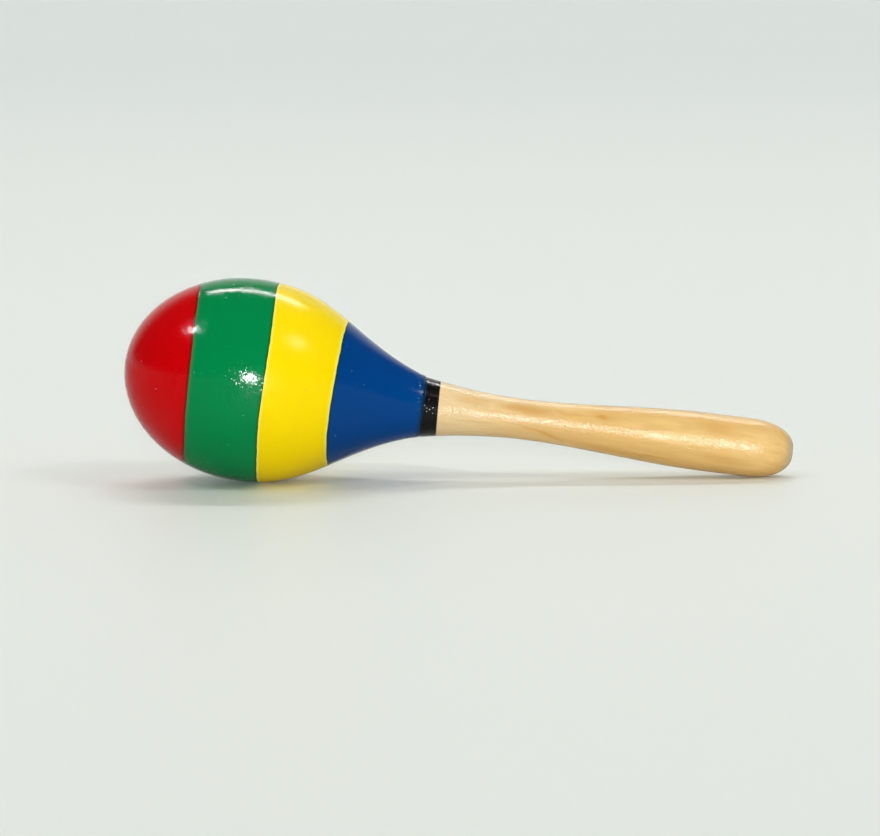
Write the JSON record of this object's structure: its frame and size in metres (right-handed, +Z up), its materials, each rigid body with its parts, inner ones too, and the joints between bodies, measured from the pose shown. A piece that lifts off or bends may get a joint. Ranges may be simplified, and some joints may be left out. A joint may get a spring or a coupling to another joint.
{
  "type": "maraca",
  "caption": "Wooden maraca: a hollow egg-shaped head painted in broad bands, with loose shot inside, on a waisted turned handle that is shaken by hand.",
  "frame": {"origin": "centre of the bounding box on the table, midway between crown and handle end", "axes": "+Z up from the table, +X along the handle away from the head, with the belly and the handle's swell resting on the table"},
  "size_m": [0.1985, 0.0602, 0.0607],
  "materials": {
    "crown_paint": "turned hardwood with glossy brushed enamel, red over the crown and green below it",
    "neck_paint": "turned hardwood with glossy brushed enamel, yellow above and blue on the neck",
    "handle_wood": "pale turned hardwood under clear gloss lacquer, with a black enamel band next to the head",
    "shot": "plain steel shot"
  },
  "bodies": {
    "maraca": {"crown_shell": "crown_paint", "neck_shell": "neck_paint", "handle": "handle_wood"},
    "pellet_01": {"pellet_01": "shot"},
    "pellet_02": {"pellet_02": "shot"},
    "pellet_03": {"pellet_03": "shot"},
    "pellet_04": {"pellet_04": "shot"},
    "pellet_05": {"pellet_05": "shot"},
    "pellet_06": {"pellet_06": "shot"},
    "pellet_07": {"pellet_07": "shot"},
    "pellet_08": {"pellet_08": "shot"},
    "pellet_09": {"pellet_09": "shot"},
    "pellet_10": {"pellet_10": "shot"},
    "pellet_11": {"pellet_11": "shot"},
    "pellet_12": {"pellet_12": "shot"},
    "pellet_13": {"pellet_13": "shot"},
    "pellet_14": {"pellet_14": "shot"},
    "pellet_15": {"pellet_15": "shot"},
    "pellet_16": {"pellet_16": "shot"},
    "pellet_17": {"pellet_17": "shot"},
    "pellet_18": {"pellet_18": "shot"},
    "pellet_19": {"pellet_19": "shot"},
    "pellet_20": {"pellet_20": "shot"},
    "pellet_21": {"pellet_21": "shot"},
    "pellet_22": {"pellet_22": "shot"},
    "pellet_23": {"pellet_23": "shot"},
    "pellet_24": {"pellet_24": "shot"}
  },
  "joints": [
    {"name": "pellet_01_throw", "type": "slide", "parent": "maraca", "child": "pellet_01", "axis": [0.164, 0, 0.9865], "range_m": [0, 0.03668]},
    {"name": "pellet_02_throw", "type": "slide", "parent": "maraca", "child": "pellet_02", "axis": [0.164, 0, 0.9865], "range_m": [0, 0.04074]},
    {"name": "pellet_03_throw", "type": "slide", "parent": "maraca", "child": "pellet_03", "axis": [0.164, 0, 0.9865], "range_m": [0, 0.04255]},
    {"name": "pellet_04_throw", "type": "slide", "parent": "maraca", "child": "pellet_04", "axis": [0.164, 0, 0.9865], "range_m": [0, 0.04248]},
    {"name": "pellet_05_throw", "type": "slide", "parent": "maraca", "child": "pellet_05", "axis": [0.164, 0, 0.9865], "range_m": [0, 0.03676]},
    {"name": "pellet_06_throw", "type": "slide", "parent": "maraca", "child": "pellet_06", "axis": [0.164, 0, 0.9865], "range_m": [0, 0.04181]},
    {"name": "pellet_07_throw", "type": "slide", "parent": "maraca", "child": "pellet_07", "axis": [0.164, 0, 0.9865], "range_m": [0, 0.04451]},
    {"name": "pellet_08_throw", "type": "slide", "parent": "maraca", "child": "pellet_08", "axis": [0.164, 0, 0.9865], "range_m": [0, 0.04527]},
    {"name": "pellet_09_throw", "type": "slide", "parent": "maraca", "child": "pellet_09", "axis": [0.164, 0, 0.9865], "range_m": [0, 0.04449]},
    {"name": "pellet_10_throw", "type": "slide", "parent": "maraca", "child": "pellet_10", "axis": [0.164, 0, 0.9865], "range_m": [0, 0.03415]},
    {"name": "pellet_11_throw", "type": "slide", "parent": "maraca", "child": "pellet_11", "axis": [0.164, 0, 0.9865], "range_m": [0, 0.04056]},
    {"name": "pellet_12_throw", "type": "slide", "parent": "maraca", "child": "pellet_12", "axis": [0.164, 0, 0.9865], "range_m": [0, 0.04427]},
    {"name": "pellet_13_throw", "type": "slide", "parent": "maraca", "child": "pellet_13", "axis": [0.164, 0, 0.9865], "range_m": [0, 0.04594]},
    {"name": "pellet_14_throw", "type": "slide", "parent": "maraca", "child": "pellet_14", "axis": [0.164, 0, 0.9865], "range_m": [0, 0.04588]},
    {"name": "pellet_15_throw", "type": "slide", "parent": "maraca", "child": "pellet_15", "axis": [0.164, 0, 0.9865], "range_m": [0, 0.04442]},
    {"name": "pellet_16_throw", "type": "slide", "parent": "maraca", "child": "pellet_16", "axis": [0.164, 0, 0.9865], "range_m": [0, 0.03676]},
    {"name": "pellet_17_throw", "type": "slide", "parent": "maraca", "child": "pellet_17", "axis": [0.164, 0, 0.9865], "range_m": [0, 0.04181]},
    {"name": "pellet_18_throw", "type": "slide", "parent": "maraca", "child": "pellet_18", "axis": [0.164, 0, 0.9865], "range_m": [0, 0.04451]},
    {"name": "pellet_19_throw", "type": "slide", "parent": "maraca", "child": "pellet_19", "axis": [0.164, 0, 0.9865], "range_m": [0, 0.04527]},
    {"name": "pellet_20_throw", "type": "slide", "parent": "maraca", "child": "pellet_20", "axis": [0.164, 0, 0.9865], "range_m": [0, 0.04449]},
    {"name": "pellet_21_throw", "type": "slide", "parent": "maraca", "child": "pellet_21", "axis": [0.164, 0, 0.9865], "range_m": [0, 0.03668]},
    {"name": "pellet_22_throw", "type": "slide", "parent": "maraca", "child": "pellet_22", "axis": [0.164, 0, 0.9865], "range_m": [0, 0.04074]},
    {"name": "pellet_23_throw", "type": "slide", "parent": "maraca", "child": "pellet_23", "axis": [0.164, 0, 0.9865], "range_m": [0, 0.04255]},
    {"name": "pellet_24_throw", "type": "slide", "parent": "maraca", "child": "pellet_24", "axis": [0.164, 0, 0.9865], "range_m": [0, 0.04248]}
  ]
}
